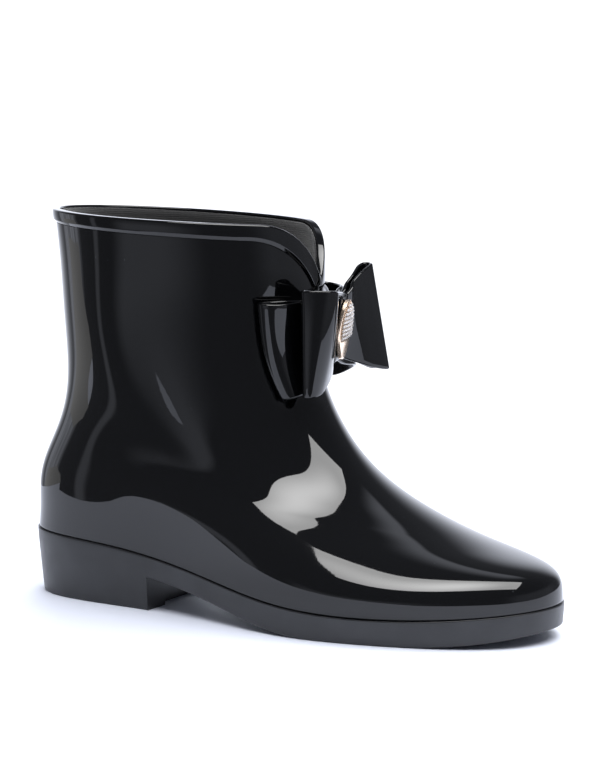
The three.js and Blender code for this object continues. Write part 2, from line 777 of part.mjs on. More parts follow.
// Origin under the middle of the whole boot, on the ground.
root.updateMatrixWorld(true);
const bounds = new THREE.Box3().setFromObject(root, true);
const middle = bounds.getCenter(new THREE.Vector3());
root.position.set(-middle.x, -middle.y, -bounds.min.z);

export default root;
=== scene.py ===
import math

import bpy
import numpy as np
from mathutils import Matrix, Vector


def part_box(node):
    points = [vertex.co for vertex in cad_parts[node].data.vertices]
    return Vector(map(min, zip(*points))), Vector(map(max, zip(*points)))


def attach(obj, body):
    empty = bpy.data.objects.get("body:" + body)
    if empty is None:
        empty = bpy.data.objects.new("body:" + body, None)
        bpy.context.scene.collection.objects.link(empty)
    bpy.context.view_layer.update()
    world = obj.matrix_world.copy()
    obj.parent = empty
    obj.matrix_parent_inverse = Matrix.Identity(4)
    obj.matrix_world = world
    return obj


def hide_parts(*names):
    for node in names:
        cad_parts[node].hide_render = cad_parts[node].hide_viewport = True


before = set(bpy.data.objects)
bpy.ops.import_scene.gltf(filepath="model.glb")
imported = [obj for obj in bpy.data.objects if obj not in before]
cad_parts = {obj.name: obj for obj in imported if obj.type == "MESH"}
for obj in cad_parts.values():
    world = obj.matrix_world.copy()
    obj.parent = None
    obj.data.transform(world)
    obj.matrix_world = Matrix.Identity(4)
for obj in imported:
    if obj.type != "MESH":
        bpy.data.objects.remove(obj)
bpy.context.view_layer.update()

# ---- dimensions, millimetres; +X to the toe, +Y inner side, +Z up -----------------------------------
WALL, FLOOR, LINING, GAP = 2.4, 2.0, 0.8, 0.3
COLLAR_PROUD, COLLAR_REBATE = 1.1, 0.8
SOLE_PROUD, SOLE_DRAFT = 0.6, 2.8
HEEL_LENGTH, HEEL_HEIGHT, TREAD_DEPTH = 73, 31, 2
TURN, TURN_PIVOT_X, LEAN, TOE_SHIFT = 9, 48, 0.014, 8
BAND = 1.6

RING_V = [0, 0.07, 0.15, 0.25, 0.36, 0.48, 0.6, 0.72, 0.86, 1]
FRONT_X = [259.8, 259.2, 252.4, 229.0, 200.4, 173.8, 152.6, 139.0, 139.1, 137.9]
FRONT_Z = [16.1, 24.3, 30.8, 36.7, 46.6, 60.1, 80.3, 110.2, 145.8, 175.9]
BACK_X = [-2.5, -1.6, -1.0, 3.1, 10.2, 15.3, 16.7, 15.6, 14.0, 11.5]
BACK_Z = [31, 41, 53, 66, 80, 95, 112, 133, 158, 181]
WIDTH_V = [0, 0.07, 0.15, 0.25, 0.36, 0.48, 0.6, 0.8, 1]
WIDTH_T = [0, 0.2, 0.4, 0.6, 0.8, 1]
OUTER_WIDTHS = [
    [21, 28.5, 34.5, 47, 43, 29],
    [21.4, 29.5, 35.4, 48.5, 44.8, 27.2],
    [22, 30.6, 36.7, 46.4, 38.2, 23],
    [23.3, 31.2, 37.1, 39.7, 31.1, 19.6],
    [25, 31.5, 34.3, 36, 27.4, 15.5],
    [27, 32.7, 36, 36.1, 26.9, 15.9],
    [29, 34.9, 39.9, 37.9, 28.6, 18.4],
    [32, 38, 45, 43, 34, 25],
    [33, 38, 46, 45, 36, 29],
]
INNER_WIDTHS = [
    [21, 28, 27, 36, 35, 29],
    [21.4, 28.5, 28, 36.2, 34.5, 27.2],
    [22, 29, 29, 36, 33, 23],
    [23.3, 29.6, 30.3, 34.6, 29.1, 19.6],
    [25, 30.5, 32, 33, 25, 15.5],
    [27, 32.2, 34.8, 33.3, 24.3, 15.9],
    [29, 34.5, 38.5, 36, 27, 18.4],
    [32, 38, 45, 43, 34, 25],
    [33, 38, 46, 45, 36, 29],
]
FEATHER_T = [0, 0.25, 0.42, 0.55, 0.7, 0.85, 1]
FEATHER_Z = [31, 27, 20, 14.5, 11.5, 12.5, 16.1]
UNDER_T = [0, 0.27, 0.34, 0.42, 0.5, 0.57, 0.62, 0.8, 0.88, 0.95, 1]
UNDER_Z = [18, 16, 13.6, 9.6, 4.9, 1.3, 0, 0, 1.3, 3.6, 6]


# ---- surface of the upper ---------------------------------------------------------------------------
def spline(xs, ys):
    """Natural cubic spline; ys may have several columns."""
    xs, ys = np.array(xs, float), np.array(ys, float)
    n, h = len(xs), np.diff(xs)
    left, right = np.eye(n), np.zeros(ys.shape)
    for i in range(1, n - 1):
        left[i, i - 1 : i + 2] = h[i - 1], 2 * (h[i - 1] + h[i]), h[i]
        right[i] = 6 * ((ys[i + 1] - ys[i]) / h[i] - (ys[i] - ys[i - 1]) / h[i - 1])
    m = np.linalg.solve(left, right)

    def curve(x):
        x = np.asarray(x, float)
        i = np.clip(np.searchsorted(xs, x, side="right") - 1, 0, n - 2)
        a, b, w = xs[i + 1] - x, x - xs[i], h[i]
        if ys.ndim > 1:
            a, b, w = a[..., None], b[..., None], w[..., None]
        return (
            (m[i] * a**3 + m[i + 1] * b**3) / (6 * w)
            + (ys[i] / w - m[i] * w / 6) * a
            + (ys[i + 1] / w - m[i + 1] * w / 6) * b
        )

    return curve


centre_lines = spline(RING_V, np.array([FRONT_X, FRONT_Z, BACK_X, BACK_Z]).T)
feather_z = spline(FEATHER_T, FEATHER_Z)
under_curve = spline(UNDER_T, UNDER_Z)
outer_widths, inner_widths = spline(WIDTH_V, OUTER_WIDTHS), spline(WIDTH_V, INNER_WIDTHS)
width_basis = spline(WIDTH_T, np.eye(6))


def ease(x):
    u = np.clip(x, 0, 1)
    return u * u * (3 - 2 * u)


def skin(angle, v):
    """Outside of the upper. angle 0 is the back and a half turn the front, by way of the outer side."""
    angle, v = np.broadcast_arrays(np.asarray(angle, float), np.asarray(v, float))
    fx, fz, bx, bz = np.moveaxis(centre_lines(v), -1, 0)
    a = (fx - bx) / 2
    t, sine = (1 - np.cos(angle)) / 2, np.sin(angle)
    widths = np.where((sine >= 0)[..., None], outer_widths(v), inner_widths(v))
    u = np.array(WIDTH_T)
    inside = (u > 0) & (u < 1)
    root = 2 * np.sqrt(np.where(inside, u * (1 - u), 1))
    shape = np.where(inside, widths / root, np.sqrt(np.abs(widths * a[..., None])))
    y = -(width_basis(t) * shape).sum(-1) * sine
    y = y + TOE_SHIFT * np.clip(1 - v / 0.9, 0, 1) * ease((t - 0.35) / 0.65)
    lift = ease(v / 0.3)
    level = bz + (fz - bz) * t
    low = feather_z(t) + (bz - FEATHER_Z[0]) * (1 - t) + (fz - FEATHER_Z[-1]) * t
    z = low * (1 - lift) + level * lift
    rise = ease(v / 0.8)
    turn = math.radians(TURN) * rise
    dx = bx + 2 * a * t - TURN_PIVOT_X
    x = TURN_PIVOT_X + dx * np.cos(turn) - y * np.sin(turn)
    y = dx * np.sin(turn) + y * np.cos(turn)
    return np.stack([x, y, z - LEAN * y * rise], -1)


def unit(v):
    return v / np.linalg.norm(v, axis=-1, keepdims=True)


def sunk(angle, v, depth):
    """Point that lies depth under the outside of the upper, or above it where depth is negative."""
    e = 0.004
    around = skin(angle + e, v) - skin(angle - e, v)
    up = skin(angle, v + e) - skin(angle, np.maximum(v - e, 0))
    return skin(angle, v) - unit(np.cross(around, up)) * np.asarray(depth)[..., None]


def outline(angle, depth, z=None):
    """Point of the feather outline moved inwards in plan by depth."""
    e = 0.01
    along = skin(angle + e, 0) - skin(angle - e, 0)
    inward = unit(np.stack([-along[..., 1], along[..., 0], 0 * along[..., 0]], -1))
    p = skin(angle, 0)
    middle = (skin(0, 0) + skin(math.pi, 0)) / 2
    inward = inward * np.sign(((middle - p) * inward).sum(-1, keepdims=True))
    p = p + inward * np.asarray(depth)[..., None]
    if z is not None:
        p[..., 2] = z
    return p


def notch(angle, depth, reach):
    from_front = np.hypot(angle - math.pi, 0.03)
    return depth * np.clip(1 - from_front / reach, 0, 1) ** 2


def rim_v(angle):
    return 1 - notch(angle, 0.12, 0.72)


def collar_v(angle):
    return np.maximum(0.963 - notch(angle, 0.15, 0.82), 0.862)


def turn_steps(count):
    return np.arange(count) / count * 2 * math.pi


# from the design frame, which starts at the heel, to the frame's origin, by the sole's low corner
sole_low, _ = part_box("outsole_heel")
edge = outline(turn_steps(72), -SOLE_PROUD)
OFFSET = np.array([sole_low.x * 1000 - edge[:, 0].min(), sole_low.y * 1000 - edge[:, 1].min(), 0])

# ---- mesh making ------------------------------------------------------------------------------------
def strips(start_a, start_b, count):
    """Quads between two closed rings of vertices."""
    j = np.arange(count)
    k = (j + 1) % count
    return np.stack([start_a + j, start_a + k, start_b + k, start_b + j], -1)


def cap(points, start, count, cells, bulge=None):
    """Rows across a ring from one half to the other. Returns (new points, quads with -1 in triangles)."""
    base = sum(len(p) for p in points)
    half = count // 2
    ring = np.concatenate(points)[start : start + count]
    rows, new = [], []
    for j in range(half + 1):
        a, b = j, (count - j) % count
        if a == b:
            rows.append([start + a] * (cells + 1))
            continue
        share = np.arange(1, cells)[:, None] / cells
        line = ring[a] * (1 - share) + ring[b] * share
        if bulge is not None:
            line = bulge(line, share[:, 0])
        first = base + sum(len(n) for n in new)
        new.append(line)
        rows.append([start + a, *range(first, first + cells - 1), start + b])
    rows = np.array(rows)
    faces = np.stack([rows[:-1, :-1], rows[:-1, 1:], rows[1:, 1:], rows[1:, :-1]], -1).reshape(-1, 4)
    clean = []
    for f in faces:
        keep = list(dict.fromkeys(f.tolist()))
        if len(keep) > 2:
            clean.append(keep + [-1] * (4 - len(keep)))
    return np.concatenate(new), np.array(clean)


def loft(rings, closed=False, cells=12, first=None, last=None):
    """Skin over rings of equal length. It is closed by its first ring again, or by a cap at each end."""
    rings = [np.asarray(r, float) for r in rings]
    count = len(rings[0])
    points = [np.concatenate(rings)]
    faces = [strips(i * count, (i + 1) * count, count) for i in range(len(rings) - 1)]
    if closed:
        faces.append(strips((len(rings) - 1) * count, 0, count))
    else:
        new, f = cap(points, 0, count, cells, first)
        points.append(new)
        faces.append(f)
        new, f = cap(points, (len(rings) - 1) * count, count, cells, last)
        points.append(new)
        f = np.where(f[:, 3:] < 0, np.stack([f[:, 0], f[:, 2], f[:, 1], f[:, 3]], -1), f[:, ::-1])
        faces.append(f)
    return np.concatenate(points), np.concatenate(faces)


def join(parts):
    """Several (points, faces) as one."""
    points, faces, base = [], [], 0
    for p, f in parts:
        points.append(p)
        faces.append(np.where(f >= 0, f + base, -1))
        base += len(p)
    return np.concatenate(points), np.concatenate(faces)


def volume(points, faces):
    a, b, c = points[faces[:, 0]], points[faces[:, 1]], points[faces[:, 2]]
    total = (a * np.cross(b, c)).sum()
    q = faces[faces[:, 3] >= 0]
    return total + (points[q[:, 0]] * np.cross(points[q[:, 2]], points[q[:, 3]])).sum()


def add(name, shape, material, body, nodes, sharp=40):
    """New object from (points in the design frame, faces), riding on body and standing for nodes."""
    points, faces = shape
    if volume(points, faces) < 0:
        faces = np.where(
            faces[:, 3:] < 0,
            np.stack([faces[:, 0], faces[:, 2], faces[:, 1], faces[:, 3]], -1),
            faces[:, ::-1],
        )
    mesh = bpy.data.meshes.new(name)
    sizes = np.where(faces[:, 3] < 0, 3, 4)
    loops = faces[faces >= 0]
    mesh.vertices.add(len(points))
    mesh.vertices.foreach_set("co", ((points + OFFSET) / 1000).ravel())
    mesh.loops.add(len(loops))
    mesh.loops.foreach_set("vertex_index", loops.astype(np.int32))
    mesh.polygons.add(len(faces))
    mesh.polygons.foreach_set("loop_start", np.concatenate([[0], np.cumsum(sizes)[:-1]]).astype(np.int32))
    mesh.update(calc_edges=True)
    mesh.validate()
    mesh.shade_smooth()
    mesh.set_sharp_from_angle(angle=math.radians(sharp))
    mesh.materials.append(material)
    obj = bpy.data.objects.new(name, mesh)
    bpy.context.scene.collection.objects.link(obj)
    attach(obj, body)
    if nodes:
        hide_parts(*nodes)
    return obj


# ---- materials --------------------------------------------------------------------------------------
class Nodes:
    """A node tree with short calls to add to it."""

    def __init__(self, tree):
        self.tree = tree
        coordinates = self.node("ShaderNodeTexCoord").outputs
        self.place, self.direction = coordinates["Object"], coordinates["Generated"]

    def node(self, kind, inputs=None, **settings):
        made = self.tree.nodes.new(kind)
        for key, value in settings.items():
            setattr(made, key, value)
        for key, value in (inputs or {}).items():
            self.put(made.inputs[key], value)
        return made

    def put(self, socket, value):
        if isinstance(value, bpy.types.NodeSocket):
            self.tree.links.new(value, socket)
        else:
            socket.default_value = value

    def noise(self, scale, detail=3.0, roughness=0.5, where=None, distortion=0.0):
        made = self.node(
            "ShaderNodeTexNoise",
            {
                "Vector": where or self.place,
                "Scale": scale,
                "Detail": detail,
                "Roughness": roughness,
                "Distortion": distortion,
            },
        )
        return made.outputs["Fac"]

    def ramp(self, value, low, high, out_low=0.0, out_high=1.0, kind="LINEAR"):
        made = self.node(
            "ShaderNodeMapRange",
            {"Value": value, "From Min": low, "From Max": high, "To Min": out_low, "To Max": out_high},
            interpolation_type=kind,
        )
        return made.outputs["Result"]

    def window(self, value, start, full, end, gone):
        """1 between full and end, softly 0 outside start and gone."""
        rise = self.ramp(value, start, full, kind="SMOOTHSTEP")
        fall = self.ramp(value, end, gone, 1.0, 0.0, "SMOOTHSTEP")
        return self.math("MULTIPLY", rise, fall)

    def mix(self, share, a, b):
        made = self.node("ShaderNodeMix", data_type="RGBA")
        self.put(made.inputs[0], share)
        self.put(made.inputs[6], a)
        self.put(made.inputs[7], b)
        return made.outputs[2]

    def math(self, operation, a, b=0.0):
        made = self.node("ShaderNodeMath", operation=operation)
        self.put(made.inputs[0], a)
        self.put(made.inputs[1], b)
        return made.outputs[0]

    def bump(self, height, strength, distance, normal=None):
        inputs = {"Height": height, "Strength": strength, "Distance": distance}
        if normal is not None:
            inputs["Normal"] = normal
        return self.node("ShaderNodeBump", inputs).outputs["Normal"]


class Surface(Nodes):
    """A new material with its Principled shader."""

    def __init__(self, name):
        self.material = bpy.data.materials.new(name)
        self.material.use_nodes = True
        super().__init__(self.material.node_tree)
        self.shader = self.tree.nodes["Principled BSDF"]

    def set(self, **values):
        for key, value in values.items():
            self.put(self.shader.inputs[key.replace("_", " ").title()], value)


def glossy_pvc(name, speck=0.7):
    """Black moulded PVC: mirror gloss, faint ripple of the mould, a few dust specks."""
    n = Surface(name)
    dust = n.ramp(n.noise(900, 1.0), 0.80, 0.83)
    patch = n.ramp(n.noise(24, 2.0), 0.52, 0.66)
    specks = n.math("MULTIPLY", n.math("MULTIPLY", dust, patch), speck)
    n.set(base_color=n.mix(specks, (0.0014, 0.0015, 0.0019, 1), (0.16, 0.17, 0.19, 1)))
    smear = n.ramp(n.noise(14, 4.0, 0.6, distortion=0.6), 0.35, 0.75, 0.02, 0.05)
    n.set(roughness=n.math("ADD", smear, n.math("MULTIPLY", specks, 0.4)))
    n.shader.inputs["IOR"].default_value = 1.5
    ripple = n.bump(n.noise(60, 2.0), 0.25, 0.00006)
    n.set(normal=n.bump(n.noise(420, 2.0), 0.12, 0.00002, ripple))
    return n.material


def sole_rubber():
    n = Surface("sole_rubber")
    tone = n.ramp(n.noise(45, 4.0, 0.6), 0.3, 0.7)
    n.set(base_color=n.mix(tone, (0.012, 0.0125, 0.014, 1), (0.021, 0.022, 0.025, 1)))
    n.set(roughness=n.ramp(n.noise(130, 3.0), 0.3, 0.7, 0.30, 0.42))
    grain = n.bump(n.noise(1500, 3.0, 0.6), 0.35, 0.00005)
    n.set(normal=n.bump(n.noise(70, 2.0), 0.3, 0.00012, grain))
    return n.material


def knit_lining():
    """Short-pile textile sock: wales and courses under a raised fuzz."""
    n = Surface("lining_knit")
    wave = n.node(
        "ShaderNodeTexWave",
        {"Vector": n.place, "Scale": 330.0, "Distortion": 2.5, "Detail": 2.0},
        bands_direction="Z",
    ).outputs["Fac"]
    fuzz = n.noise(2600, 3.0, 0.75)
    tuft = n.noise(420, 3.0, 0.65)
    tone = n.math("MULTIPLY", n.ramp(fuzz, 0.25, 0.75), n.ramp(tuft, 0.2, 0.8, 0.4, 1.0))
    n.set(base_color=n.mix(tone, (0.0036, 0.0036, 0.004, 1), (0.026, 0.026, 0.028, 1)))
    n.set(roughness=n.ramp(fuzz, 0.2, 0.8, 0.85, 1.0))
    n.shader.inputs["Sheen Weight"].default_value = 0.5
    n.shader.inputs["Sheen Roughness"].default_value = 0.45
    rows = n.bump(wave, 0.5, 0.0002)
    n.set(normal=n.bump(fuzz, 0.8, 0.0004, rows))
    return n.material


def foam():
    n = Surface("footbed_foam")
    cells = n.node("ShaderNodeTexVoronoi", {"Vector": n.place, "Scale": 1400.0}).outputs["Distance"]
    tone = n.ramp(cells, 0.0, 0.7)
    n.set(base_color=n.mix(tone, (0.03, 0.03, 0.032, 1), (0.085, 0.085, 0.09, 1)))
    n.set(roughness=n.ramp(n.noise(300), 0.3, 0.7, 0.8, 0.95))
    n.set(normal=n.bump(cells, 0.7, 0.0003))
    return n.material


def footbed_cloth():
    """Fine twill glued on the foam."""
    n = Surface("footbed_cloth")
    twill = n.node(
        "ShaderNodeTexWave",
        {"Vector": n.place, "Scale": 420.0, "Distortion": 0.6, "Detail": 1.0},
        bands_direction="DIAGONAL",
    ).outputs["Fac"]
    fibre = n.noise(1900, 3.0, 0.7)
    tone = n.math("ADD", n.math("MULTIPLY", twill, 0.6), n.math("MULTIPLY", fibre, 0.4))
    n.set(base_color=n.mix(tone, (0.016, 0.016, 0.018, 1), (0.06, 0.06, 0.065, 1)))
    n.set(roughness=n.ramp(fibre, 0.2, 0.8, 0.8, 0.97))
    n.shader.inputs["Sheen Weight"].default_value = 0.3
    n.set(normal=n.bump(tone, 0.7, 0.0003))
    return n.material


def metal(name, colour, dark, roughness, grain):
    n = Surface(name)
    n.shader.inputs["Metallic"].default_value = 1.0
    cloud = n.ramp(n.noise(160, 3.0), 0.3, 0.7)
    n.set(base_color=n.mix(cloud, dark, colour))
    fine = n.noise(grain, 2.0)
    n.set(roughness=n.ramp(fine, 0.3, 0.7, roughness * 0.7, roughness * 1.4))
    n.set(normal=n.bump(fine, 0.2, 0.00002))
    return n.material


def crystal():
    """Cut stones over foil: the brightness that differs per stone and with a fine noise in the base colour
    is painted glint, not the stones' own colour.
    """
    n = Surface("crystal")
    own = n.node("ShaderNodeNewGeometry").outputs["Random Per Island"]
    painted_glint = n.noise(1800, 1.0)
    share = n.math("ADD", n.math("MULTIPLY", own, 0.6), n.math("MULTIPLY", painted_glint, 0.4))
    # painted glint: per-stone and fine-noise lightening of the base colour stands in for sparkle
    n.set(base_color=n.mix(share, (0.86, 0.8, 0.76, 1), (1.0, 0.97, 0.94, 1)), metallic=0.5)
    n.set(roughness=n.ramp(own, 0, 1, 0.15, 0.3))
    n.shader.inputs["IOR"].default_value = 1.9
    n.shader.inputs["Coat Weight"].default_value = 1.0
    n.shader.inputs["Coat Roughness"].default_value = 0.02
    return n.material


PVC = glossy_pvc("upper_pvc")
TRIM = glossy_pvc("trim_pvc", 0.4)
BOW_PVC = glossy_pvc("bow_pvc", 0.9)
RUBBER = sole_rubber()
KNIT = knit_lining()
FOAM = foam()
CLOTH = footbed_cloth()
GOLD = metal("clasp_gold", (0.95, 0.78, 0.62, 1), (0.88, 0.68, 0.52, 1), 0.25, 2400)
STEEL = metal("rivet_steel", (0.62, 0.63, 0.65, 1), (0.48, 0.49, 0.5, 1), 0.28, 1800)
CRYSTAL = crystal()

# ---- upper ------------------------------------------------------------------------------------------
AROUND = turn_steps(384)
V_MM = 1 / 164  # share of the ring parameter that is one millimetre near the rim


def upper_shape():
    top = collar_v(AROUND) - 0.25 * V_MM
    wall_top = rim_v(AROUND) - 0.008
    rings = [outline(AROUND, 0.5), outline(AROUND, 0.14)]
    rings[1][:, 2] += 0.06
    for share in np.linspace(0.004, 1, 220):
        rings.append(sunk(AROUND, share * top, np.zeros(len(AROUND))))
    for v in (top, (top + wall_top) / 2, wall_top):
        rings.append(sunk(AROUND, v, np.full(len(AROUND), COLLAR_REBATE)))
    for share in np.linspace(1, 0.05, 40):
        rings.append(sunk(AROUND, share * wall_top, np.full(len(AROUND), WALL)))
    floor = outline(AROUND, WALL + 0.4)
    floor[:, 2] += FLOOR
    rings.append(floor)
    return loft(rings, cells=16)


def collar_shape():
    """Angle band over the top edge: rounded corners, bevelled lower edge."""
    foot, top = collar_v(AROUND), rim_v(AROUND)
    proud, lip = -COLLAR_PROUD, -0.1
    inner = COLLAR_REBATE - GAP
    end = top - 0.0062
    profile = [(inner, foot), (lip, foot)]
    for share in np.linspace(0.1, 0.9, 6):
        profile.append((lip + (proud - lip) * share, foot + 1.4 * V_MM * share))
    profile.append((proud, foot + 1.45 * V_MM))
    for share in np.linspace(0.05, 1, 9):
        bulge = 0.1 * math.sin(share * math.pi)
        profile.append((proud - bulge, (foot + 1.5 * V_MM) * (1 - share) + (top - 0.9 * V_MM) * share))
    for k in range(7):
        a = k / 6 * math.pi / 2
        profile.append((proud + 0.9 * (1 - math.cos(a)), top - 0.9 * V_MM * (1 - math.sin(a))))
    for k in range(7):
        a = k / 6 * math.pi / 2
        profile.append((WALL - 0.7 + 0.7 * math.sin(a), top - 0.7 * V_MM * (1 - math.cos(a))))
    profile += [(WALL, end), (inner, end), (inner, (foot + top) / 2)]
    rings = [sunk(AROUND, v, np.full(len(AROUND), depth)) for depth, v in profile]
    return loft(rings, closed=True)


add("upper", upper_shape(), PVC, "boot", ["upper_shell"])
add("collar", collar_shape(), TRIM, "boot", ["collar_trim"], 60)


# ---- lining -----------------------------------------------------------------------------------------
def lining_shape():
    """Closed-toe sock of even thickness inside the shell."""
    around = turn_steps(256)
    size = np.ones(len(around))
    top = rim_v(around) - 0.0095
    outside, inside = WALL + GAP, WALL + GAP + LINING

    def floor(depth, lift):
        ring = outline(around, depth)
        ring[:, 2] += lift
        return ring

    rings = [floor(inside + 1.4, FLOOR + GAP + LINING)]
    for share in np.linspace(0.05, 1, 70):
        rings.append(sunk(around, share * top, size * inside))
    rings.append(sunk(around, top + 0.25 * V_MM, size * (inside + outside) / 2))
    for share in np.linspace(1, 0.05, 40):
        rings.append(sunk(around, share * top, size * outside))
    rings.append(floor(outside + 1.4, FLOOR + GAP))
    return loft(rings, cells=16)


lining = add("lining", lining_shape(), KNIT, "boot", ["lining_sock"], 60)


# ---- outsole ----------------------------------------------------------------------------------------
def breast_angle(x):
    """Angle of the outline at the heel's front."""
    t = (x - BACK_X[0]) / (FRONT_X[0] - BACK_X[0])
    return math.acos(1 - 2 * t)


def under_z(t):
    return np.maximum(0, under_curve(t))


def outsole_shape():
    """Sole and heel in one skin; the heel breast is a step between two columns."""
    half = np.linspace(0, math.pi, 241)
    step = breast_angle(HEEL_LENGTH)
    half = half[np.abs(half - step) > 0.008]
    half = np.sort(np.concatenate([half, [step - 0.0009, step + 0.0009]]))
    around = np.concatenate([half, 2 * math.pi - half[-2:0:-1]])
    t = (1 - np.cos(around)) / 2
    x = BACK_X[0] + (FRONT_X[0] - BACK_X[0]) * t
    bottom = np.where(x < HEEL_LENGTH, 0, under_z(t))
    top = skin(around, 0)[:, 2] - GAP

    def ring(share, lift, inset):
        z = top + (bottom - top) * share + lift
        draft = -SOLE_PROUD + SOLE_DRAFT * np.clip((top - z) / HEEL_HEIGHT, 0, 1) ** 1.2
        p = outline(around, draft + inset)
        p[:, 2] = z
        # keep the heel breast plane
        near = np.abs(x - HEEL_LENGTH) < 1
        p[near, 0] = x[near]
        return p

    rings = [ring(0, 0, 1.6), ring(0, 0, 0.5), ring(0, -0.06, 0.22), ring(0, -0.25, 0.05), ring(0, -0.5, 0)]
    rings += [ring(share, 0, 0) for share in np.linspace(0.06, 0.9, 12)]
    rings += [ring(1, 0.8, 0), ring(1, 0.4, 0.1), ring(1, 0.12, 0.35), ring(1, 0, 0.8)]
    return loft(rings, cells=24)


def block(x0, x1, y0, y1, z0, z1):
    p = np.array([(x, y, z) for x in (x0, x1) for y in (y0, y1) for z in (z0, z1)], float)
    f = np.array([(0, 1, 3, 2), (4, 6, 7, 5), (0, 4, 5, 1), (2, 3, 7, 6), (0, 2, 6, 4), (1, 5, 7, 3)])
    return p, f


def carve(target, tools, sharp):
    """Cut closed shapes, given in the design frame, out of an object."""
    cutter = bpy.data.objects.new("cutter", bpy.data.meshes.new("cutter"))
    bpy.context.scene.collection.objects.link(cutter)
    points, faces = join(tools)
    cutter.data.from_pydata(((points + OFFSET) / 1000).tolist(), [], faces.tolist())
    change = target.modifiers.new("cut", "BOOLEAN")
    change.object = cutter
    change.operation = "DIFFERENCE"
    change.solver = "EXACT"
    depsgraph = bpy.context.evaluated_depsgraph_get()
    mesh = bpy.data.meshes.new_from_object(target.evaluated_get(depsgraph))
    target.modifiers.clear()
    target.data = mesh
    bpy.data.objects.remove(cutter)
    mesh.shade_smooth()
    mesh.set_sharp_from_angle(angle=math.radians(sharp))


def tread_tools():
    """Breast recess and cross grooves of the underside."""
    sole_length, below, border = 260, -1, 9.5
    tools = [block(HEEL_LENGTH - 4.5, HEEL_LENGTH + 6, -14, 16, below, 15.2)]
    for x in np.arange(146, 236, 9):
        t = x / sole_length
        angle = math.acos(1 - 2 * t)
        outer, inner = (abs(outline(np.array([a]), border)[0, 1]) for a in (angle, 2 * math.pi - angle))
        tools.append(block(x, x + 3, -outer, inner, below, float(under_z(t)) + TREAD_DEPTH))
    for x in (14, 55):
        tools.append(block(x, x + 2.5, -16, 16, below, TREAD_DEPTH))
    return tools


outsole = add("outsole", outsole_shape(), RUBBER, "boot", ["outsole_heel"], 32)
carve(outsole, tread_tools(), 32)


# ---- footbed ----------------------------------------------------------------------------------------
FOOTBED_LIFT = FLOOR + LINING + 2 * GAP + 0.1
FOOTBED_INSET = WALL + LINING + GAP + 3.4
FOAM_THICK, COVER_THICK = 4.0, 0.9
CUP_DEPTH, CUP_END = 0.8, 90  # the heel's hollow and where it has run out


def footbed_shape(low, high, shrink, soft):
    """Layer with rounded edges; its heel is slightly cupped."""
    around = turn_steps(256)

    def ring(inset, lift):
        p = outline(around, FOOTBED_INSET + shrink + inset)
        p[:, 2] += lift
        return p

    def dish(line, share):
        depth = CUP_DEPTH * np.sin(share * math.pi) ** 2 * ease((CUP_END - line[:, 0]) / 60)
        line[:, 2] -= depth
        return line

    rings = [ring(soft, low), ring(soft * 0.3, low + soft * 0.3), ring(0, low + soft)]
    rings += [ring(0, high - soft), ring(soft * 0.3, high - soft * 0.3), ring(soft, high)]
    return loft(rings, cells=24, last=dish, first=dish if shrink else None)


foam_high = FOOTBED_LIFT + FOAM_THICK
core_shape = footbed_shape(FOOTBED_LIFT, foam_high, 0, 0.6)
core = add("footbed_core", core_shape, FOAM, "footbed", ["footbed_foam"], 60)
cover_shape = footbed_shape(foam_high + GAP, foam_high + GAP + COVER_THICK, 0.4, 0.3)
add("footbed_top", cover_shape, CLOTH, "footbed", ["footbed_cover"], 60)

# ---- bow --------------------------------------------------------------------------------------------
BOW_V, BOW_TILT = 0.7925, math.radians(7)  # height on the front line, and turn about the rivet
SHAFT_RADIUS, V_LENGTH = 41, 256  # curve of the shaft's front, and length of a whole v there
KNOT_HALF, KNOT_BLEND = 8, 6  # half width of the knot, and how it runs out into the loops
PITCH, PITCH_FROM, PITCH_OVER = 0.15, 5, 6  # slope of the knot's front, and the depth where it sets in
REAR_BELLY, FRONT_BELLY = 0.25, 1.0  # swelling of the near loops at half height
BOW_CENTRE = skin(np.array(math.pi), np.array(BOW_V))
BOW_OUT = np.array([math.cos(math.radians(TURN)), math.sin(math.radians(TURN)), 0])
LEVEL_SIDE = np.array([-BOW_OUT[1], BOW_OUT[0], 0])
LEVEL_UP = unit(np.array([0, 0, 1]) + BOW_OUT * 0.01)
BOW_SIDE = LEVEL_SIDE * math.cos(BOW_TILT) + LEVEL_UP * math.sin(BOW_TILT)
BOW_UP = LEVEL_UP * math.cos(BOW_TILT) - LEVEL_SIDE * math.sin(BOW_TILT)


def rivet_point(side, out, up):
    """side > 0 is the inner side, out is away from the shaft, up is along the shaft."""
    side, out, up = (np.asarray(c, float)[..., None] for c in (side, out, up))
    return BOW_CENTRE + BOW_SIDE * side + BOW_OUT * out + BOW_UP * up


def bow_point(side, out, up):
    """The same, with the front of the knot and the clasp pitched forward at the top."""
    side, out, up = (np.asarray(c, float) for c in (side, out, up))
    knot = 1 - ease((np.abs(side) - KNOT_HALF) / KNOT_BLEND)
    pitch = PITCH * up * np.clip((out - PITCH_FROM) / PITCH_OVER, 0, 1) * knot
    return rivet_point(side, out + pitch, up)


def shaft_point(side, out, up):
    """The same coordinates laid on the curved front of the shaft."""
    angle = math.pi + (side * math.cos(BOW_TILT) - up * math.sin(BOW_TILT)) / SHAFT_RADIUS
    v = BOW_V + (up * math.cos(BOW_TILT) + side * math.sin(BOW_TILT)) / V_LENGTH
    return sunk(angle, v, -out)


